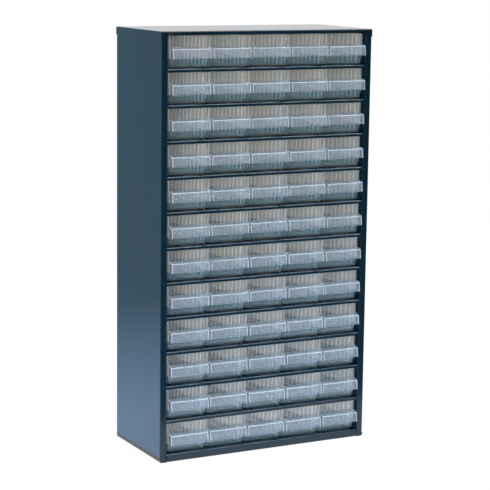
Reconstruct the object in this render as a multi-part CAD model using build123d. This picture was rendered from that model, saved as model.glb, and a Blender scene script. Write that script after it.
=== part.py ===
"""Parts bin cabinet: a folded sheet-steel case with twelve shelves and sixty clear drawers.

Millimetres, +Z up. The drawers face -Y. The origin is the middle of the footprint, on the
surface that the cabinet stands on. Depths are measured back from the front face of the top cap.
"""

from build123d import *
from math import cos, radians, sin
import os

# Overall layout
ROWS = 12
COLUMNS = 5
DEPTH = 139.4  # over the top cap
BASE_LEVEL = 10.0  # top of the lowest shelf
ROW_PITCH = 45.0
COLUMN_PITCH = 56.4
TOP_ROOM = 2.0  # between the last row's pitch and the top of the cap
SIDE_ROOM = 12.0  # between the last column's pitch and the outside of the cap

# Sheet steel
SHEET = 0.8
BEND_RADIUS = 1.6  # outside of a fold
BASE_BEND_RADIUS = 2.4  # outside of the folds under the two sides
FLANGE_WIDTH = 8.9  # front flange on each side
FLANGE_RETURN = 12.0  # depth of the edge turned in behind it
ASSEMBLY_GAP = 0.3  # between sheets that pass each other

# Top cap
CAP_SIDE_LIP = 10.0
CAP_FRONT_LIP = 5.0
CAP_EDGE = 1.8  # what is left of the front lip beside the ears
CAP_EAR_WIDTH = 7.0
CAP_EAR_ROUND = 2.0
CAP_LIP_SHORT = 7.1  # from the inside of a side flange to the full front lip

# Shelves
SHELF_LIP = 4.0  # front and rear
SHELF_SIDE_LIP = 7.0
SHELF_BEVEL = 0.8  # a shelf's folds are drawn as bevels that start this far from the corner
SHELF_SETBACK = 1.6  # front of the shelf's lip, behind the cap's front

# Guide strips that stand on each shelf between the drawers
GUIDE_THICKNESS = 1.2
GUIDE_HEIGHT = 12.4
GUIDE_FRONT = 20.0  # depth at which a strip begins
GUIDE_REAR_GAP = 8.0  # from its end to the back panel
GUIDE_NOSE = 4.0  # corner cut off its front end

# Back panel
BACK_LIP = 10.0
HANGING_HOLE_RADIUS = 3.0
HANGING_HOLE_INSET = 7.0  # from the outside of the cap
HANGING_HOLE_DROP = 27.0  # below the top of the cabinet

# Drawers, measured from the top of the shelf that they slide on
DRAWER_GAP = 1.2  # between the rims of two drawers
DRAWER_DRAFT = 1.1  # how far each side leans out between the floor and the rim
DRAWER_SETBACK = 5.0  # front wall behind the cap's front
DRAWER_REAR_GAP = 0.5
LIP_CLEARANCE = 0.4  # rim to the shelf lip above
SLIDE_CLEARANCE = 0.3  # skids above the shelf
FLOOR_LIFT = 2.5  # underside of the floor
WALL = 1.2
BOTTOM_ROUND = 3.2  # outside, along the bottom edges
ROUND_FACETS = 2  # flats that make up that round
WINDOW_RECESS = 1.0
POST_WIDTH = 4.0  # beside the window
PANEL_SETBACK = 3.5  # how far the lower front leans back
SKID_INSET = 10.5  # from the side of the drawer's floor to the middle of a skid
SKID_WIDTH = 2.4
SKID_FRONT_GAP = 4.0  # from the lower front's foot to the skids

# Pull of a drawer: a hood across its front, open below for a finger
PULL_INSET = 0.9  # from the side of the rim to the side of the pull
PULL_FOOT = 13.0
PULL_FACE_TOP = 25.2
PULL_ROOT_TOP = 27.0
PULL_REACH = 9.6  # at its lower edge
PULL_LEAN = 1.0  # its lower edge stands this far in front of its upper edge

# Travel, ended by two nibs on the rim that meet the lip of the shelf above
TRAVEL = 110.0
STOP_GAP = 0.3
NIB_LENGTH = 6.0
NIB_HEIGHT = 2.2

# Sizes that follow
WIDTH = COLUMNS * COLUMN_PITCH + 2 * SIDE_ROOM
HEIGHT = BASE_LEVEL + ROWS * ROW_PITCH + TOP_ROOM
CASE_WIDTH = WIDTH - 2 * SHEET
CASE_FRONT = SHEET
CASE_BACK = DEPTH - SHEET
CASE_TOP = HEIGHT - BEND_RADIUS  # the case ends below the rounds inside the cap
INSIDE_HALF = CASE_WIDTH / 2 - SHEET
MOUTH_HALF = CASE_WIDTH / 2 - FLANGE_WIDTH
BACK_FACE = CASE_BACK - SHEET
HANGING_HOLE_X = WIDTH / 2 - HANGING_HOLE_INSET
DRAWER_TOP_WIDTH = COLUMN_PITCH - DRAWER_GAP
DRAWER_BOTTOM_WIDTH = DRAWER_TOP_WIDTH - 2 * DRAWER_DRAFT
PULL_WIDTH = DRAWER_TOP_WIDTH - 2 * PULL_INSET
SKID_X = DRAWER_BOTTOM_WIDTH / 2 - SKID_INSET
RIM = ROW_PITCH - SHELF_LIP - LIP_CLEARANCE
DRAWER_BACK = BACK_FACE - DRAWER_REAR_GAP
PULL_PROUD = PULL_REACH - DRAWER_SETBACK
FRONT_Y = (PULL_PROUD - DEPTH) / 2

# The drawers of the lowest row share one node, so that the whole stays within sixty nodes
ROWS_IN_ONE_NODE = 1


def at_depth(depth):
    """The Y of a depth behind the front face of the cap."""
    return FRONT_Y + depth


def block(x_span, depth_span, z_span):
    """A box between two X, two depths and two Z."""
    size = [abs(b - a) for a, b in (x_span, depth_span, z_span)]
    middle = (sum(x_span) / 2, at_depth(sum(depth_span) / 2), sum(z_span) / 2)
    return Pos(*middle) * Box(*size)


def front_prism(outline, depth_span):
    """An outline in X and Z, carried from one depth to another."""
    start, end = depth_span
    face = Plane.XZ.offset(-at_depth(start)) * outline
    return extrude(face, amount=end - start, dir=(0, 1, 0))


def side_prism(outline, x_span):
    """An outline in depth and Z, carried from one X to another."""
    start, end = x_span
    face = Plane((start, FRONT_Y, 0), x_dir=(0, 1, 0), z_dir=(1, 0, 0)) * outline
    return extrude(face, amount=end - start, dir=(1, 0, 0))


def plan_prism(outline, z_span):
    """An outline in X and depth, carried from one Z to another."""
    start, end = z_span
    face = Pos(0, FRONT_Y, start) * outline
    return extrude(face, amount=end - start, dir=(0, 0, 1))


def folded(points, outside_radius):
    """A strip of sheet folded along the points of its middle line."""
    line = FilletPolyline(*points, radius=outside_radius - SHEET / 2)
    return trace(line, line_width=SHEET)


def outline_of(points):
    """The face inside a closed run of points."""
    return make_face(Polyline(*points, close=True))


def bevelled(points, bevel):
    """A strip of sheet along the points of its middle line, with bevels for its folds."""
    points = [Vector(*point) for point in points]
    run = [points[0]]
    for before, corner, after in zip(points, points[1:], points[2:]):
        run.append(corner + (before - corner).normalized() * bevel)
        run.append(corner + (after - corner).normalized() * bevel)
    run.append(points[-1])

    # Each side of the strip is the middle line moved out by half the sheet, with mitred joints
    ways = [(end - start).normalized() for start, end in zip(run, run[1:])]
    sides = [Vector(-way.Y, way.X) for way in ways]
    shifts = []
    for one, other in zip(sides[:1] + sides, sides + sides[-1:]):
        mitre = (one + other).normalized()
        shifts.append(mitre * (SHEET / 2 / mitre.dot(one)))
    left = [point + shift for point, shift in zip(run, shifts)]
    right = [point - shift for point, shift in zip(run, shifts)]
    return outline_of(left + right[::-1])


def row_level(row):
    """Top of the shelf under a row. Row 1 is the highest."""
    return BASE_LEVEL + (ROWS - row) * ROW_PITCH


def column_place(column):
    """X of the middle of a column. Column 1 is at the left, seen from the front."""
    return (column - (COLUMNS + 1) / 2) * COLUMN_PITCH


def make_case_side():
    """One side of the case in plan: the side, its front flange and the edge turned in."""
    side_line = CASE_WIDTH / 2 - SHEET / 2
    flange_line = CASE_FRONT + SHEET / 2
    turned_line = MOUTH_HALF + SHEET / 2
    outline = folded(
        [
            (side_line, CASE_BACK),
            (side_line, flange_line),
            (turned_line, flange_line),
            (turned_line, CASE_FRONT + FLANGE_RETURN),
        ],
        BEND_RADIUS,
    )
    return plan_prism(outline, (0, CASE_TOP))


def make_case_shell():
    """Left side, bottom and right side folded from one sheet, with their front flanges."""
    right = make_case_side()
    sides = right + mirror(right, about=Plane.YZ)

    # The folds under the sides round the lower corners
    face = Rectangle(CASE_WIDTH, CASE_TOP, align=(Align.CENTER, Align.MIN))
    face = fillet(face.vertices().sort_by(Axis.Y)[:2], BASE_BEND_RADIUS)
    sides = sides & front_prism(face, (CASE_FRONT, CASE_BACK))

    fold = 2 * BASE_BEND_RADIUS
    side_line = CASE_WIDTH / 2 - SHEET / 2
    bottom = folded(
        [
            (-side_line, fold),
            (-side_line, SHEET / 2),
            (side_line, SHEET / 2),
            (side_line, fold),
        ],
        BASE_BEND_RADIUS,
    )
    bottom = front_prism(bottom, (CASE_FRONT, CASE_BACK))

    # The bottom's front flange stands between the two side flanges
    lip_half = MOUTH_HALF - ASSEMBLY_GAP
    front_lip = folded(
        [
            (CASE_BACK / 2, SHEET / 2),
            (CASE_FRONT + SHEET / 2, SHEET / 2),
            (CASE_FRONT + SHEET / 2, BASE_LEVEL - SHEET),
        ],
        BEND_RADIUS,
    )
    front_lip = side_prism(front_lip, (-lip_half, lip_half))
    bottom -= block((-lip_half, lip_half), (0, CASE_BACK / 4), (-SHEET, fold))
    return sides + bottom + front_lip


def cap_box(inset, radius):
    """The cap as a full block, drawn in by an inset, with its top and front edges rounded."""
    half = WIDTH / 2 - inset
    body = block(
        (-half, half), (inset, DEPTH - inset), (HEIGHT - CAP_SIDE_LIP - inset, HEIGHT - inset)
    )
    front = body.faces().sort_by(Axis.Y)[0].edges().filter_by(Axis.Z)
    return fillet(front + body.faces().sort_by(Axis.Z)[-1].edges(), radius)


def make_top_cap():
    """The lid: lips at the sides and rear, and ears and a shorter lip at the front."""
    cap = cap_box(0, BEND_RADIUS) - cap_box(SHEET, BEND_RADIUS - SHEET)

    # The front lip is low over the drawers, cut away beside them, and full at the ears
    lip_foot = HEIGHT - CAP_SIDE_LIP
    ear_half = WIDTH / 2 - CAP_EAR_WIDTH
    full_half = MOUTH_HALF - CAP_LIP_SHORT
    step = CAP_FRONT_LIP - CAP_EDGE
    foot = HEIGHT - CAP_FRONT_LIP
    edge = HEIGHT - CAP_EDGE
    opening = outline_of(
        [
            (-ear_half, lip_foot - SHEET),
            (-ear_half, edge),
            (-full_half - step, edge),
            (-full_half, foot),
            (full_half, foot),
            (full_half + step, edge),
            (ear_half, edge),
            (ear_half, lip_foot - SHEET),
        ]
    )
    cap -= front_prism(opening, (-SHEET, SHEET))
    ear_corners = (
        cap.edges()
        .filter_by(Axis.Y)
        .filter_by(lambda e: abs(abs(e.center().X) - ear_half) < SHEET / 4)
        .filter_by(lambda e: e.center().Z < lip_foot + SHEET)
    )
    return fillet(ear_corners, CAP_EAR_ROUND)


def make_back_panel():
    """The back, let in between the sides, with a lip at its top and bottom."""
    outline = folded(
        [
            (BACK_FACE - BACK_LIP, SHEET * 1.5),
            (BACK_FACE + SHEET / 2, SHEET * 1.5),
            (BACK_FACE + SHEET / 2, CASE_TOP - SHEET / 2),
            (BACK_FACE - BACK_LIP, CASE_TOP - SHEET / 2),
        ],
        BEND_RADIUS,
    )
    panel = side_prism(outline, (-INSIDE_HALF, INSIDE_HALF))
    for x in (-HANGING_HOLE_X, HANGING_HOLE_X):
        hole = Pos(x, HEIGHT - HANGING_HOLE_DROP) * Circle(HANGING_HOLE_RADIUS)
        panel -= front_prism(hole, (BACK_FACE - SHEET, CASE_BACK + SHEET))
    return panel


def make_shelf(level):
    """One shelf: lips turned down all round, and wings that reach behind the side flanges."""
    middle = level - SHEET / 2
    front_line = SHELF_SETBACK + SHEET / 2
    rear_line = BACK_FACE - SHEET / 2
    outline = bevelled(
        [
            (front_line, level - SHELF_LIP),
            (front_line, middle),
            (rear_line, middle),
            (rear_line, level - SHELF_LIP),
        ],
        SHELF_BEVEL,
    )
    half = MOUTH_HALF - ASSEMBLY_GAP
    shelf = side_prism(outline, (-half, half))

    wing_line = INSIDE_HALF - SHEET / 2
    wings = bevelled(
        [
            (-wing_line, level - SHELF_SIDE_LIP),
            (-wing_line, middle),
            (wing_line, middle),
            (wing_line, level - SHELF_SIDE_LIP),
        ],
        SHELF_BEVEL,
    )
    wing_front = CASE_FRONT + FLANGE_RETURN + ASSEMBLY_GAP
    return shelf + front_prism(wings, (wing_front, rear_line - SHELF_BEVEL))


def make_guide(x, level):
    """One upright strip that keeps two drawers apart."""
    end = BACK_FACE - GUIDE_REAR_GAP
    top = level + GUIDE_HEIGHT
    outline = outline_of(
        [
            (GUIDE_FRONT, level),
            (end, level),
            (end, top),
            (GUIDE_FRONT + GUIDE_NOSE, top),
            (GUIDE_FRONT, top - GUIDE_NOSE),
        ]
    )
    return side_prism(outline, (x - GUIDE_THICKNESS / 2, x + GUIDE_THICKNESS / 2))


def wall_half(z):
    """Half the drawer's outside width at a height: its sides lean outwards."""
    share = (z - FLOOR_LIFT) / (RIM - FLOOR_LIFT)
    return (DRAWER_BOTTOM_WIDTH + share * (DRAWER_TOP_WIDTH - DRAWER_BOTTOM_WIDTH)) / 2


def trough_outline(inset, foot, top, radius):
    """The drawer's section across, with bottom edges rounded in flats."""
    low, high = wall_half(foot + radius) - inset, wall_half(top) - inset
    right = [(high, top)]
    for step in range(ROUND_FACETS + 1):
        angle = radians(90 * step / ROUND_FACETS)
        right.append(
            (low - radius * (1 - cos(angle)), foot + radius * (1 - sin(angle)))
        )
    return outline_of(right + [(-x, z) for x, z in reversed(right)])


def make_tub():
    """The drawer's open tub. Its front leans back below the pull."""
    front, back = DRAWER_SETBACK, DRAWER_BACK
    foot_back = front + PANEL_SETBACK
    outside = outline_of(
        [
            (front, RIM),
            (front, PULL_FOOT),
            (foot_back, FLOOR_LIFT),
            (back, FLOOR_LIFT),
            (back, RIM),
        ]
    )
    outside = side_prism(outside, (-DRAWER_TOP_WIDTH, DRAWER_TOP_WIDTH))
    section = trough_outline(0, FLOOR_LIFT, RIM, BOTTOM_ROUND)
    outside &= front_prism(section, (front, back))

    front_wall = WALL + WINDOW_RECESS
    floor_top = FLOOR_LIFT + WALL
    above = RIM + WALL
    inside = outline_of(
        [
            (front + front_wall, above),
            (front + front_wall, PULL_FOOT),
            (foot_back + WALL, floor_top),
            (back - WALL, floor_top),
            (back - WALL, above),
        ]
    )
    inside = side_prism(inside, (-DRAWER_TOP_WIDTH, DRAWER_TOP_WIDTH))
    section = trough_outline(WALL, floor_top, above, BOTTOM_ROUND - WALL)
    inside &= front_prism(section, (front, back))

    window_half = DRAWER_TOP_WIDTH / 2 - POST_WIDTH
    window = block(
        (-window_half, window_half),
        (front - WALL, front + WINDOW_RECESS),
        (PULL_ROOT_TOP, above),
    )
    return outside - inside - window


def make_pull():
    """The hood across the drawer's front: a face, a sloping top and two cheeks."""
    front = DRAWER_SETBACK
    lip = front - PULL_REACH
    brow = lip + PULL_LEAN
    below = PULL_FOOT - WALL
    outside = outline_of(
        [(front, PULL_ROOT_TOP), (brow, PULL_FACE_TOP), (lip, PULL_FOOT), (front, PULL_FOOT)]
    )
    inside = outline_of(
        [
            (front, PULL_ROOT_TOP - WALL),
            (brow + WALL, PULL_FACE_TOP - WALL),
            (lip + WALL, below),
            (front, below),
        ]
    )
    half = PULL_WIDTH / 2
    hood = side_prism(outside, (-half, half))
    return hood - side_prism(inside, (WALL - half, half - WALL))


def make_skid(x):
    """One of the two ridges that the drawer slides on."""
    front = DRAWER_SETBACK + PANEL_SETBACK + SKID_FRONT_GAP
    return block(
        (x - SKID_WIDTH / 2, x + SKID_WIDTH / 2),
        (front, DRAWER_BACK),
        (SLIDE_CLEARANCE, FLOOR_LIFT),
    )


def make_stop_nib():
    """The nib on the right rim, square in front and sloping behind."""
    front = SHELF_SETBACK + SHEET + STOP_GAP + TRAVEL
    outline = outline_of(
        [(front, RIM), (front, RIM + NIB_HEIGHT), (front + NIB_LENGTH, RIM)]
    )
    half = DRAWER_TOP_WIDTH / 2
    return side_prism(outline, (half - WALL, half))


def make_drawer():
    """One drawer moulding, standing on a shelf whose top is at Z = 0."""
    nib = make_stop_nib()
    drawer = make_tub() + make_pull() + nib + mirror(nib, about=Plane.YZ)
    return drawer + make_skid(-SKID_X) + make_skid(SKID_X)


def save(name, shape):
    """Writes one node."""
    solids = shape if isinstance(shape, list) else [shape]
    solids = [solid for item in solids for solid in item.solids()]
    body = solids[0] if len(solids) == 1 else Compound(children=solids)
    export_step(body, os.path.join("parts", name + ".step"))


def main():
    os.makedirs("parts", exist_ok=True)
    save("case_shell", make_case_shell())
    save("top_cap", make_top_cap())
    save("back_panel", make_back_panel())

    levels = [row_level(row) for row in range(1, ROWS + 1)]
    between = [column_place(column) + COLUMN_PITCH / 2 for column in range(1, COLUMNS)]
    shelves = [make_shelf(level) for level in levels]
    guides = [make_guide(x, level) for level in levels for x in between]
    save("shelves", shelves + guides)

    drawer = make_drawer()
    for row in range(1, ROWS + 1):
        places = [
            Pos(column_place(column), 0, row_level(row)) * drawer
            for column in range(1, COLUMNS + 1)
        ]
        if row > ROWS - ROWS_IN_ONE_NODE:
            save(f"drawers_r{row:02d}", places)
            continue
        for column, placed in enumerate(places, start=1):
            save(f"drawer_r{row:02d}_c{column}", placed)


main()
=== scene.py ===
"""Parts bin cabinet: the look of its enamelled steel case and sixty clear moulded drawers.

Metres, +Z up, the drawers face -Y. The drawers' sizes are in millimetres, measured from each
drawer's own place: X from its middle, depth back from its front wall, Z up from its shelf.
"""

import math

import bpy
import numpy as np
from mathutils import Matrix, Vector


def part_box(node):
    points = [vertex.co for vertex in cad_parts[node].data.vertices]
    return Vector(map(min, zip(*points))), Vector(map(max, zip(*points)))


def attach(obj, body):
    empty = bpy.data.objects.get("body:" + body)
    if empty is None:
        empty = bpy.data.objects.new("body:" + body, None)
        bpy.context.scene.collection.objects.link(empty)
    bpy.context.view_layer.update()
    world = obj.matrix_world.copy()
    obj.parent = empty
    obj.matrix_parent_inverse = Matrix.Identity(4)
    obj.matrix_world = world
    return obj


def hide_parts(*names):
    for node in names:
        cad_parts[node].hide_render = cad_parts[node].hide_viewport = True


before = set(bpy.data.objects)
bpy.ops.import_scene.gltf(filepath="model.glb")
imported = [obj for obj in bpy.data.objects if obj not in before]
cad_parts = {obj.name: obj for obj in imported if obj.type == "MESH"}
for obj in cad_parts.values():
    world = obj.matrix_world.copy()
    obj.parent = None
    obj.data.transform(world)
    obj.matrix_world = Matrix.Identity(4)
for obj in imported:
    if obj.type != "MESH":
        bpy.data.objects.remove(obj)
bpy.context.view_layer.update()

MM = 0.001  # metres in a millimetre
ROWS = 12
COLUMNS = 5
STEEL_NODES = ("case_shell", "top_cap", "back_panel", "shelves")

# The first drawer's corners and the spacing of the drawers, read from the solids
DRAWER_LOW, DRAWER_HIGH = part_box("drawer_r01_c1")
ROW_PITCH = DRAWER_LOW.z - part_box("drawer_r02_c1")[0].z
COLUMN_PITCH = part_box("drawer_r01_c2")[0].x - DRAWER_LOW.x

# Tub of a drawer, in millimetres
PULL_REACH = 9.6  # how far the pull stands in front of the front wall
NIB_HEIGHT = 2.2
SKID_FOOT = 0.3  # underside of the skids
FLOOR = 1.2  # underside of the floor
WALL = 1.2
RIM_WIDTH = (DRAWER_HIGH.x - DRAWER_LOW.x) / MM
RIM = (DRAWER_HIGH.z - DRAWER_LOW.z) / MM + SKID_FOOT - NIB_HEIGHT
DRAWER_BACK = (DRAWER_HIGH.y - DRAWER_LOW.y) / MM - PULL_REACH
DRAFT = 1.1  # how far each side leans out between the floor and the rim
PANEL_SETBACK = 3.5  # how far the lower front leans back
BOTTOM_ROUND = 2.4  # outside, below the sides
FOOT_ROUND = 1.1  # below the front and the back
CORNER_ROUND = 1.4  # the four upright corners
RIM_ROUND = 0.3
ROUND_STEPS = 4  # faces across the round below a side
CORNER_STEPS = 3  # faces round an upright corner

# Window, between the pull and the rim
POST_WIDTH = 4.0  # beside the window
WINDOW_HALF = RIM_WIDTH / 2 - POST_WIDTH
WINDOW_STEP = 0.25  # breadth of the slope at its edge
WINDOW_RECESS = 1.0

# Upright ribs on the inside of the side walls
RIB_COUNT = 11
RIB_PITCH = 11.0
RIB_FIRST = 14.0  # depth of the first one's middle
RIB_HALF = 0.5  # half the breadth of its flat
RIB_FLANK = 0.4  # breadth of its slopes
RIB_PROUD = 0.8
RIB_TOP = RIM - 2.6
RIB_SHOULDER = 0.5  # height of the slope at its top
RIB_CORNERS = 4  # points that draw one rib
STREAK = 14.0  # breadth of the painted streaks that stand for the light the ribs gather

# Pull
PULL_HALF = RIM_WIDTH / 2 - 0.9
PULL_FOOT = 13.0
PULL_FACE_TOP = 25.2
PULL_ROOT_TOP = 27.0
PULL_LEAN = 1.0  # its lower edge stands this far in front of its upper edge
BROW_ROUND = 1.2
BROW_DROP = 1.08  # middle of that round, below the top of the face
BROW_STEPS = 4
BROW_BEVEL = 0.4  # inside the brow

# Skids and stop nibs
SKID_X = 16.0
SKID_WIDTH = 2.4
SKID_FRONT = 7.5
NIB_FRONT = 107.7
NIB_LENGTH = 6.0

# No drawer is pushed in quite like the next: the most that one stands out of line
PUSHED_SEED = 7
MOST_FORWARD = 1.2
MOST_ASIDE = 0.35

SMOOTH_ANGLE = 35  # degrees, below which an edge is shaded round

# Camera, fitted to the corners of the cabinet in the photograph
CAMERA_PLACE = (-1.0625, -2.0112, 0.6546)
CAMERA_YAW = math.radians(27.907)
CAMERA_PITCH = math.radians(-9.742)
CAMERA_ROLL = math.radians(0.733)
CAMERA_LENS = 127.1
CAMERA_SENSOR = 36.0

# Painted reflections, light that only the gloss mirrors: a colour and its strength
BLACK = ("000000", 0.0)
WHITE = ("FFFFFF", 5.0)
GREY_WALL_REFLECTION = ("88A8BC", 1.25)
BLUE_FLOOR_REFLECTION = ("B0D0F8", 2.3)

# Material slots of a drawer
CLEAR, RIBBED, RIB, EDGE_HIGHLIGHT, HOOD, PANEL, FILLET_GLINT, SILL = range(8)


def colour(hex_code):
    """An sRGB hex value as linear red, green, blue and alpha."""
    parts = [int(hex_code[i:i + 2], 16) / 255 for i in (0, 2, 4)]
    linear = [c / 12.92 if c <= 0.04045 else ((c + 0.055) / 1.055) ** 2.4 for c in parts]
    return (*linear, 1.0)


def add(tree, kind, inputs=None, **settings):
    """Adds a node with its settings; an input is a value or another node's output."""
    node = tree.nodes.new(kind)
    for name, value in settings.items():
        setattr(node, name, value)
    for name, value in (inputs or {}).items():
        if isinstance(value, bpy.types.NodeSocket):
            tree.links.new(value, node.inputs[name])
        else:
            node.inputs[name].default_value = value
    return node


def new_material(name):
    """An empty node material, its tree and its output node."""
    material = bpy.data.materials.new(name)
    material.use_nodes = True
    tree = material.node_tree
    tree.nodes.clear()
    return material, tree, tree.nodes.new("ShaderNodeOutputMaterial")


# ---------------------------------------------------------------- materials


def blue_enamel():
    """Stove enamel sprayed on rolled steel: a dark blue gloss with a faint orange peel."""
    material, tree, output = new_material("blue_stove_enamel")
    place = add(tree, "ShaderNodeTexCoord").outputs["Object"]

    # Orange peel of sprayed enamel, about 2 mm across, drawn at 4 mm so that it shows
    peel = add(tree, "ShaderNodeTexNoise", {
        "Vector": place, "Scale": 1 / (4 * MM), "Detail": 2.0})
    bump = add(tree, "ShaderNodeBump", {
        "Height": peel.outputs["Fac"], "Strength": 0.04, "Distance": 0.0004})

    # Slow change of depth of colour and of gloss, over a hand's breadth
    drift = add(tree, "ShaderNodeTexNoise", {"Vector": place, "Scale": 9.0, "Detail": 3.0})
    shade = add(tree, "ShaderNodeMix", {
        "Factor": drift.outputs["Fac"], "A": colour("0B212C"), "B": colour("102A37")},
        data_type="RGBA")
    rough = add(tree, "ShaderNodeMapRange", {
        "Value": drift.outputs["Fac"], "To Min": 0.14, "To Max": 0.2})

    surface = add(tree, "ShaderNodeBsdfPrincipled", {
        "Base Color": shade.outputs["Result"], "Roughness": rough.outputs["Result"],
        "IOR": 1.5, "Normal": bump.outputs["Normal"]})
    tree.links.new(surface.outputs[0], output.inputs["Surface"])
    return material


def clear_styrene(name, tints, haze, rough):
    """Injection-moulded clear polystyrene: it bends light, and a little haze whitens it.

    With two tints, painted streaks of both run up the wall, one for every rib or two, standing for
    the light the ribs bend. Shadow rays go straight through, a little dimmed, so that the lamps
    reach the inside.
    """
    material, tree, output = new_material(name)
    surface = add(tree, "ShaderNodeBsdfPrincipled", {
        "Base Color": colour(tints[0]), "Roughness": rough, "IOR": 1.59,
        "Transmission Weight": 1.0 - haze})
    if len(tints) > 1:
        place = add(tree, "ShaderNodeTexCoord").outputs["Object"]
        # Squeezed in Z, the spots of the noise become upright streaks of painted light
        along = add(tree, "ShaderNodeMapping", {"Vector": place, "Scale": (1, 1, 0.02)})
        streak = add(tree, "ShaderNodeTexNoise", {
            "Vector": along.outputs["Vector"], "Scale": 1 / (STREAK * MM), "Detail": 1.0})
        sharp = add(tree, "ShaderNodeMapRange", {
            "Value": streak.outputs["Fac"], "From Min": 0.35, "From Max": 0.65})
        tint = add(tree, "ShaderNodeMix", {
            "Factor": sharp.outputs["Result"], "A": colour(tints[0]), "B": colour(tints[1])},
            data_type="RGBA")
        tree.links.new(tint.outputs["Result"], surface.inputs["Base Color"])
    open_way = add(tree, "ShaderNodeBsdfTransparent", {"Color": colour("F7F9F9")})
    path = add(tree, "ShaderNodeLightPath")
    mix = add(tree, "ShaderNodeMixShader", {
        0: path.outputs["Is Shadow Ray"], 1: surface.outputs[0], 2: open_way.outputs[0]})
    tree.links.new(mix.outputs[0], output.inputs["Surface"])
    return material


def drawer_plastics():
    """The one clear plastic in the order of a drawer's slots: hazier for painted highlights where
    it gathers light, deeper blue for painted shade low down.
    """
    parts = (
        ("", ["EEF4F6"], 0.05, 0.03),  # window, back and corners: polished
        ("_ribbed_wall", ["DCE4EC", "EEE6DC"], 0.5, 0.05),  # painted streaks of cold and warm light
        ("_rib", ["E8EEF4", "FAECDE"], 0.58, 0.08),  # the same painted streaks, brighter: a painted highlight on the ribs
        ("_lit_edge", ["ECF2FA"], 0.4, 0.1),  # painted highlights on the edges, standing for light led along the walls
        ("_pull", ["DCE8F2"], 0.1, 0.05),  # a faint blue, hazier than the window so that it shows paler: painted light
        ("_lower_front", ["BCDCE8"], 0.06, 0.05),  # a deeper blue below the pull, painted shade
        ("_painted_fillet_glint", ["F6EEE0"], 0.5, 0.1),  # a painted cream glint along the floor
        ("_lower_wall", ["C8E0EC"], 0.15, 0.05),  # smooth, and painted darker below the ribs: painted shade
    )
    return [clear_styrene("clear_polystyrene" + part, tints, haze, rough)
            for part, tints, haze, rough in parts]


# ---------------------------------------------------------------- drawer shapes


def wall_half(z):
    """Half the drawer's width at height z: the sides lean out evenly from floor to rim."""
    return RIM_WIDTH / 2 - DRAFT * (RIM - z) / (RIM - FLOOR)


def leaning_front(z, upright, foot, foot_z):
    """Depth of a front: upright above the pull's foot, then an even slope to its own foot."""
    return upright + (foot - upright) * np.clip((PULL_FOOT - z) / (PULL_FOOT - foot_z), 0, 1)


def rib_depths():
    """Depths of the corners of the ribs along a side wall, four to a rib.

    Rib k has its middle at first + k pitch, and its corners half a flat from that on either
    side, and a flank further out.
    """
    middles = RIB_FIRST + RIB_PITCH * np.arange(RIB_COUNT)
    corners = np.array([-RIB_HALF - RIB_FLANK, -RIB_HALF, RIB_HALF, RIB_HALF + RIB_FLANK])
    return (middles[:, None] + corners).ravel()


def tub_ring(z, half, front, back, recess=0.0, rib=0.0):
    """One closed ring round the tub in plan.

    A rectangle with round corners: the right half runs from the middle of the front, round the
    front corner, along the ribbed side, round the rear corner to the middle of the back, and
    the left half mirrors it. The window lies behind the front by the recess, and each rib
    stands in from the side by rib.
    """
    turn = np.linspace(0, math.pi / 2, CORNER_STEPS + 1)
    window_x = np.array([0, WINDOW_HALF / 2, WINDOW_HALF, WINDOW_HALF + WINDOW_STEP])
    window_y = front + recess * np.array([1, 1, 1, 0])
    side_x = half - rib * np.tile([0, 1, 1, 0], RIB_COUNT)
    reach = half - CORNER_ROUND
    x = np.concatenate([
        window_x, reach + CORNER_ROUND * np.sin(turn), side_x,
        reach + CORNER_ROUND * np.cos(turn), [0]])
    y = np.concatenate([
        window_y, front + CORNER_ROUND * (1 - np.cos(turn)), rib_depths(),
        back - CORNER_ROUND * (1 - np.sin(turn)), [back]])
    x = np.concatenate([x, -x[-2:0:-1]])
    y = np.concatenate([y, y[-2:0:-1]])
    return np.column_stack([x, y, np.full(len(x), z)])


def outer_rings():
    """The outside of the tub, from the floor up to the rim.

    The edge below a side is a quarter round: at angle a it lies radius (1 - sin a) inside the
    wall and radius (1 - cos a) above the floor.
    """
    rings = []
    for angle in np.linspace(0, math.pi / 2, ROUND_STEPS + 1):
        inset = 1 - math.sin(angle)
        z = FLOOR + BOTTOM_ROUND * (1 - math.cos(angle))
        front = leaning_front(z, 0, PANEL_SETBACK, FLOOR)
        rings.append(tub_ring(
            z, wall_half(z) - BOTTOM_ROUND * inset,
            front + FOOT_ROUND * inset, DRAWER_BACK - FOOT_ROUND * inset))
    for z, recess, inset in (
        (PULL_FOOT, 0, 0),
        (PULL_ROOT_TOP, 0, 0),
        (PULL_ROOT_TOP, WINDOW_RECESS, 0),
        (RIM - RIM_ROUND, WINDOW_RECESS, 0),
        (RIM, WINDOW_RECESS, RIM_ROUND),
    ):
        rings.append(tub_ring(z, wall_half(z) - inset, inset, DRAWER_BACK - inset, recess))
    return rings


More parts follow.
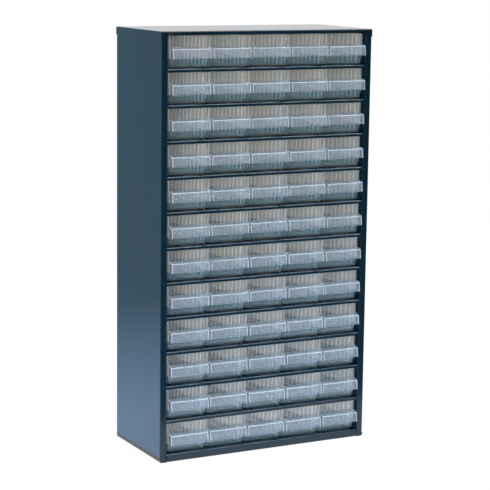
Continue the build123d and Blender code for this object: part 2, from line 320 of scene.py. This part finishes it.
def inner_rings():
    """The inside of the tub, from the rim down to the floor: one wall inside, with the ribs.

    Its bottom edge is the same quarter round with a radius smaller by the wall, and the ribs
    die away in it.
    """
    rings = []
    behind_window = WALL + WINDOW_RECESS
    for z, rib, inset in (
        (RIM, 0, WALL - RIM_ROUND),
        (RIM - RIM_ROUND, 0, WALL),
        (RIB_TOP + RIB_SHOULDER, 0, WALL),
        (RIB_TOP, RIB_PROUD, WALL),
        (PULL_FOOT, RIB_PROUD, WALL),
    ):
        front = behind_window + inset - WALL
        rings.append(tub_ring(z, wall_half(z) - inset, front, DRAWER_BACK - inset, 0, rib))

    radius = BOTTOM_ROUND - WALL
    floor_top = FLOOR + WALL
    for angle in np.linspace(math.pi / 2, 0, ROUND_STEPS + 1):
        inset = 1 - math.sin(angle)
        z = floor_top + radius * (1 - math.cos(angle))
        front = leaning_front(z, behind_window, PANEL_SETBACK + WALL, floor_top)
        rings.append(tub_ring(
            z, wall_half(z) - WALL - radius * inset, front + FOOT_ROUND * inset,
            DRAWER_BACK - WALL - FOOT_ROUND * inset, 0, RIB_PROUD * (1 - inset)))
    return rings


def tub_slots(bands, count):
    """The slot of each face of the tub, by its band between two rings and its step round them."""
    # Steps from the middle of the front: two of the window, its edge, the post, the corner,
    # then the side wall, with a rib on three of every four
    window_edge, post = 2, 3
    corner_middle = post + 1 + CORNER_STEPS // 2
    side_start = post + 1 + CORNER_STEPS
    here = np.arange(count)
    step = np.minimum(here, count - 1 - here)
    rib_step = step - side_start - 1
    front = step < side_start
    side = (rib_step >= -1) & (rib_step < RIB_CORNERS * RIB_COUNT)
    ribs = side & (rib_step >= 0) & (rib_step % RIB_CORNERS < RIB_CORNERS - 1)

    # Bands in the order of the rings, up the outside and down the inside
    above_pull_foot = ROUND_STEPS + 1
    window = above_pull_foot + 2
    rim = window + 1
    rib_top = rim + 4
    below_pull_foot = rib_top + 2
    fillet = below_pull_foot + 2

    slots = np.full((bands, count), CLEAR)
    # Painted shade on the smooth lower side walls
    slots[:, side] = SILL
    # Painted streaks of light on the ribbed walls, brighter painted highlights on the ribs
    slots[above_pull_foot:below_pull_foot, side] = RIBBED
    slots[rib_top:below_pull_foot, ribs] = RIB
    slots[below_pull_foot, ribs] = RIBBED
    # Painted shade on the lower front, above and below the pull
    slots[:above_pull_foot, front] = PANEL
    slots[below_pull_foot:, front] = PANEL

    # Painted highlights where light gathers: the rim and the edges of the window, and a painted
    # glint on the fillet along the floor
    slots[rim:rim + 3] = EDGE_HIGHLIGHT
    slots[window, (step == window_edge) | (step == corner_middle)] = EDGE_HIGHLIGHT
    slots[fillet:, side] = FILLET_GLINT
    return slots


def tub():
    """The tub as one closed surface: rings up the outside, over the rim and down the inside."""
    rings = outer_rings() + inner_rings()
    bands, count = len(rings) - 1, len(rings[0])
    start = np.arange(bands)[:, None] * count
    here = np.arange(count)
    after = (here + 1) % count
    quads = np.stack(
        [start + here, start + after, start + after + count, start + here + count], axis=-1)
    underside = list(range(count - 1, -1, -1))
    floor = list(range(bands * count, (bands + 1) * count))
    faces = quads.reshape(-1, 4).tolist() + [underside, floor]
    slots = np.append(tub_slots(bands, count).ravel(), [CLEAR, CLEAR])
    return np.concatenate(rings), faces, slots


def prism(profile, x_span, slots, end=CLEAR):
    """A closed outline in depth and Z, carried straight from one X to another.

    At share s of the way, point k of the outline keeps its depth and Z, and its X is
    x0 + s (x1 - x0).
    """
    count = len(profile)
    points = np.concatenate([np.column_stack([np.full(count, x), profile]) for x in x_span])
    here = np.arange(count)
    after = (here + 1) % count
    quads = np.column_stack([here, after, after + count, here + count])
    ends = [list(range(count - 1, -1, -1)), list(range(count, 2 * count))]
    return points, quads.tolist() + ends, np.append(np.broadcast_to(slots, count), [end, end])


def arc(centre, radius, start, end, steps):
    """Points on a circle in depth and Z: the centre plus the radius at even angles, in degrees."""
    angles = np.radians(np.linspace(start, end, steps + 1))
    return np.array(centre) + radius * np.column_stack([np.cos(angles), np.sin(angles)])


def hood_outside():
    """The pull's outline in depth and Z, from its root over the brow to its lower edge."""
    brow = -PULL_REACH + PULL_LEAN
    slope = math.degrees(math.atan2(PULL_ROOT_TOP - PULL_FACE_TOP, -brow))
    centre = (brow + BROW_ROUND, PULL_FACE_TOP - BROW_DROP)
    return np.vstack([
        (0, PULL_ROOT_TOP),
        arc(centre, BROW_ROUND, 90 + slope, 180, BROW_STEPS),
        (-PULL_REACH, PULL_FOOT)])


def hood_inside():
    """The same run one wall inside, from the lower edge back to the root."""
    brow = -PULL_REACH + PULL_LEAN + WALL
    face_top = PULL_FACE_TOP - WALL
    return np.array([
        (-PULL_REACH + WALL, PULL_FOOT),
        (brow, face_top - BROW_BEVEL),
        (brow + BROW_BEVEL, face_top),
        (0, PULL_ROOT_TOP - WALL)])


def hood():
    """The pull: a sheet bent over the brow, with a cheek at each end."""
    outside, inside = hood_outside(), hood_inside()
    slots = np.full(len(outside) + len(inside), HOOD)
    # The brow, the lower edge and both cheeks carry the painted edge highlight
    slots[1:1 + BROW_STEPS] = EDGE_HIGHLIGHT
    slots[len(outside) - 1] = EDGE_HIGHLIGHT  # the lower edge, with the painted highlight too
    between = PULL_HALF - WALL
    sheet = prism(np.vstack([outside, inside]), (-between, between), slots, HOOD)
    cheek = np.vstack([outside, (0, PULL_FOOT)])
    left = prism(cheek, (-PULL_HALF, -between), EDGE_HIGHLIGHT)
    right = prism(cheek, (between, PULL_HALF), EDGE_HIGHLIGHT)
    return [sheet, left, right]


def skids_and_nibs():
    """Two ridges under the floor and two stop nibs on the rim."""
    skid = [(SKID_FRONT, FLOOR), (SKID_FRONT, SKID_FOOT),
            (DRAWER_BACK, SKID_FOOT), (DRAWER_BACK, FLOOR)]
    nib = [(NIB_FRONT, RIM + NIB_HEIGHT), (NIB_FRONT, RIM), (NIB_FRONT + NIB_LENGTH, RIM)]
    outside = RIM_WIDTH / 2
    parts = []
    for side in (-1, 1):
        middle = side * SKID_X
        parts.append(prism(skid, (middle - SKID_WIDTH / 2, middle + SKID_WIDTH / 2), CLEAR))
        parts.append(prism(nib, sorted((side * outside, side * (outside - WALL))), CLEAR))
    return parts


def joined(parts):
    """Several surfaces as one: points and slots end to end, and the faces renumbered."""
    points, faces, slots = zip(*parts)
    starts = np.cumsum([0] + [len(group) for group in points]).tolist()
    renumbered = [[corner + start for corner in face]
                  for group, start in zip(faces, starts) for face in group]
    return np.concatenate(points), renumbered, np.concatenate(slots)


def build_piece(name, points, faces, slots, materials):
    """A mesh object at the origin, with its place in its points."""
    mesh = bpy.data.meshes.new(name)
    mesh.from_pydata(points.tolist(), [], faces)
    for material in materials:
        mesh.materials.append(material)
    mesh.polygons.foreach_set("material_index", np.asarray(slots, dtype=np.int32))
    mesh.update()
    piece = bpy.data.objects.new(name, mesh)
    bpy.context.scene.collection.objects.link(piece)
    return piece


def smooth_by_angle(piece, degrees):
    """Smooth shading across edges that turn by less than an angle."""
    bpy.context.view_layer.update()
    with bpy.context.temp_override(object=piece, active_object=piece, selected_objects=[piece],
                                   selected_editable_objects=[piece]):
        bpy.ops.object.shade_smooth_by_angle(angle=math.radians(degrees))


def build_drawers(materials):
    """All sixty drawers, each at its own place and a hair out of line with its neighbours.

    The five of the lowest row ride together, on the one body that the solids give them.
    """
    moulding = joined([tub(), *hood()])
    points, faces, slots = joined([moulding, *skids_and_nibs()])
    # Only the moulding moves out of line. The skids and nibs stay where the solids have them.
    loose = np.arange(len(points)) < len(moulding[0])
    chance = np.random.default_rng(PUSHED_SEED)
    first = np.array([
        (DRAWER_LOW.x + DRAWER_HIGH.x) / 2,
        DRAWER_LOW.y + PULL_REACH * MM,
        DRAWER_LOW.z - SKID_FOOT * MM])
    for row in range(1, ROWS + 1):
        for column in range(1, COLUMNS + 1):
            forward = chance.uniform(0, MOST_FORWARD)
            aside = chance.uniform(-MOST_ASIDE, MOST_ASIDE)
            pushed = points + np.outer(loose, [aside, -forward, 0])
            place = first + [(column - 1) * COLUMN_PITCH, 0, -(row - 1) * ROW_PITCH]
            name = f"bin_r{row:02d}_c{column}"
            piece = build_piece(name, pushed * MM + place, faces, slots, materials)
            smooth_by_angle(piece, SMOOTH_ANGLE)
            node = f"drawer_r{row:02d}_c{column}" if row < ROWS else f"drawers_r{row:02d}"
            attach(piece, node)
            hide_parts(node)


def enamel_steel():
    """Gives the steel pieces their enamel."""
    enamel = blue_enamel()
    for name in STEEL_NODES:
        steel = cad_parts[name]
        steel.data.materials.clear()
        steel.data.materials.append(enamel)


# ---------------------------------------------------------------- stage


def camera():
    """The photograph's camera: in front, to the left and a little above."""
    ahead = Vector((
        math.sin(CAMERA_YAW) * math.cos(CAMERA_PITCH),
        math.cos(CAMERA_YAW) * math.cos(CAMERA_PITCH),
        math.sin(CAMERA_PITCH)))
    right = Vector((math.cos(CAMERA_YAW), -math.sin(CAMERA_YAW), 0))
    up = right.cross(ahead)
    tilt_right = right * math.cos(CAMERA_ROLL) + up * math.sin(CAMERA_ROLL)
    tilt_up = up * math.cos(CAMERA_ROLL) - right * math.sin(CAMERA_ROLL)
    data = bpy.data.cameras.new("photo_camera")
    data.lens = CAMERA_LENS
    data.sensor_width = CAMERA_SENSOR
    data.clip_start = 0.05
    data.clip_end = 50.0
    item = bpy.data.objects.new("photo_camera", data)
    turn = Matrix((tilt_right, tilt_up, -ahead)).transposed()
    item.matrix_world = Matrix.Translation(CAMERA_PLACE) @ turn.to_4x4()
    bpy.context.scene.collection.objects.link(item)
    bpy.context.scene.camera = item


def lamp(name, place, target, size, watts, tint="FFFFFF"):
    """A soft rectangular lamp that faces a point."""
    data = bpy.data.lights.new(name, "AREA")
    data.shape = "RECTANGLE"
    data.size, data.size_y = size
    data.energy = watts
    data.color = colour(tint)[:3]
    item = bpy.data.objects.new(name, data)
    turn = (Vector(target) - Vector(place)).to_track_quat("-Z", "Y")
    item.matrix_world = Matrix.Translation(place) @ turn.to_matrix().to_4x4()
    bpy.context.scene.collection.objects.link(item)
    return item


def flat_card(name, corners, material):
    """A flat four-cornered stage card."""
    mesh = bpy.data.meshes.new(name)
    mesh.from_pydata(corners, [], [(0, 1, 2, 3)])
    mesh.materials.append(material)
    card = bpy.data.objects.new(name, mesh)
    bpy.context.scene.collection.objects.link(card)
    return card


def seen_directly(tree):
    """1 for a ray from the camera, also by way of gloss or clear plastic, and 0 for other rays."""
    path = add(tree, "ShaderNodeLightPath")
    seen = add(tree, "ShaderNodeMath", {
        0: path.outputs["Is Camera Ray"], 1: path.outputs["Is Glossy Ray"]}, operation="MAXIMUM")
    return add(tree, "ShaderNodeMath", {
        0: seen.outputs[0], 1: path.outputs["Is Transmission Ray"]},
        operation="MAXIMUM").outputs[0]


def white_world():
    """A world that looks white and lights the cabinet only faintly."""
    world = bpy.data.worlds.new("white_studio")
    bpy.context.scene.world = world
    world.use_nodes = True
    tree = world.node_tree
    tree.nodes.clear()
    strength = add(tree, "ShaderNodeMapRange", {
        "Value": seen_directly(tree), "To Min": 0.1, "To Max": 1.0})
    white = add(tree, "ShaderNodeBackground", {
        "Color": colour("FFFFFF"), "Strength": strength.outputs["Result"]})
    add(tree, "ShaderNodeOutputWorld", {"Surface": white.outputs[0]})


def pale_floor():
    """A pale floor that looks as white as the world and keeps a faint shadow."""
    material, tree, output = new_material("pale_floor")
    paint = add(tree, "ShaderNodeBsdfPrincipled", {
        "Base Color": colour("F4F4F4"), "Roughness": 0.8})
    glow = add(tree, "ShaderNodeEmission", {"Color": colour("FFFFFF"), "Strength": 1.04})
    # A little of the lit paint stays in what the camera sees, and with it the shadow
    share = add(tree, "ShaderNodeMath", {0: seen_directly(tree), 1: 0.92}, operation="MULTIPLY")
    mix = add(tree, "ShaderNodeMixShader", {
        0: share.outputs[0], 1: paint.outputs[0], 2: glow.outputs[0]})
    tree.links.new(mix.outputs[0], output.inputs["Surface"])
    flat_card("floor", [(-1.4, -0.5, 0), (1.4, -0.5, 0), (1.4, 1.4, 0), (-1.4, 1.4, 0)], material)


def lamps():
    """Two softboxes and three fills. The fills light the cabinet without a mirror image."""
    middle = (0, 0, 0.28)
    side_softbox = lamp("side_softbox", (-1.7, 0.15, 0.85), middle, (0.5, 1.4), 14, "DCE8F8")
    # Seen from the right, its mirror image would lose the whole top in white
    side_softbox.visible_glossy = False
    lamp("top_softbox", (0.6, -0.6, 2.2), (0.6, -0.5, 0), (1.6, 0.8), 32, "E4ECF6")
    for fill in (
        lamp("front_fill", (-1.25, -1.95, 0.5), middle, (0.8, 0.7), 33, "FFF2E8"),
        lamp("rear_fill", (1.4, 1.7, 1.0), middle, (0.9, 0.9), 38),
        lamp("low_fill", (0, -0.42, 0.01), (0, -0.05, 0.15), (0.7, 0.12), 2.2, "B0D2F8"),
    ):
        fill.visible_camera = False
        fill.visible_glossy = False
        fill.visible_transmission = False


def gloss_card(name, near, far, corners):
    """A glowing card that only shows in the gloss, a painted reflection, and fades from one light
    to another in Y.
    """
    material, tree, output = new_material(name)
    place = add(tree, "ShaderNodeTexCoord").outputs["Object"]
    depth = add(tree, "ShaderNodeSeparateXYZ", {"Vector": place}).outputs["Y"]
    share = add(tree, "ShaderNodeMapRange", {"Value": depth, "From Min": 0.15, "From Max": 0.9})
    glows = [add(tree, "ShaderNodeEmission", {"Color": colour(code), "Strength": strength})
             for code, strength in (near, far)]
    mix = add(tree, "ShaderNodeMixShader", {
        0: share.outputs["Result"], 1: glows[0].outputs[0], 2: glows[1].outputs[0]})
    tree.links.new(mix.outputs[0], output.inputs["Surface"])
    card = flat_card(name, corners, material)
    card.visible_camera = False
    card.visible_diffuse = False
    card.visible_shadow = False
    card.visible_transmission = False


def gloss_cards():
    """Painted reflections for the enamel, cards seen only in the gloss: black in front, a grey
    wall and a blue floor at the left.
    """
    gloss_card("front_card", BLACK, BLACK, [
        (-1.6, -0.24, -0.6), (2.4, -0.24, -0.6), (2.4, -0.24, 0.62), (-1.6, -0.24, 0.62)])
    gloss_card("rear_card", GREY_WALL_REFLECTION, GREY_WALL_REFLECTION, [
        (-1.5, 0.4, 0), (-0.2, 1.6, 0), (-0.2, 1.6, 2.6), (-1.5, 0.4, 2.6)])
    gloss_card("floor_card", BLUE_FLOOR_REFLECTION, GREY_WALL_REFLECTION, [
        (-1.4, -0.3, 0.001), (-0.16, -0.3, 0.001), (-0.16, 1.3, 0.001), (-1.4, 1.3, 0.001)])
    # A bright strip for the thin highlights along the folds
    gloss_card("fold_card", WHITE, WHITE, [
        (-1.6, -1.0, -0.2), (-1.2, -1.3, -0.2), (-1.2, -1.3, 1.2), (-1.6, -1.0, 1.2)])


def light_paths():
    """Plain colours, and enough bounces for light to pass through a row of clear drawers."""
    scene = bpy.context.scene
    scene.view_settings.view_transform = "Standard"
    scene.cycles.transparent_max_bounces = 64
    scene.cycles.caustics_reflective = False
    scene.cycles.max_bounces = 40
    scene.cycles.transmission_bounces = 40
    scene.cycles.glossy_bounces = 12


camera()
white_world()
pale_floor()
lamps()
gloss_cards()
enamel_steel()
build_drawers(drawer_plastics())
light_paths()
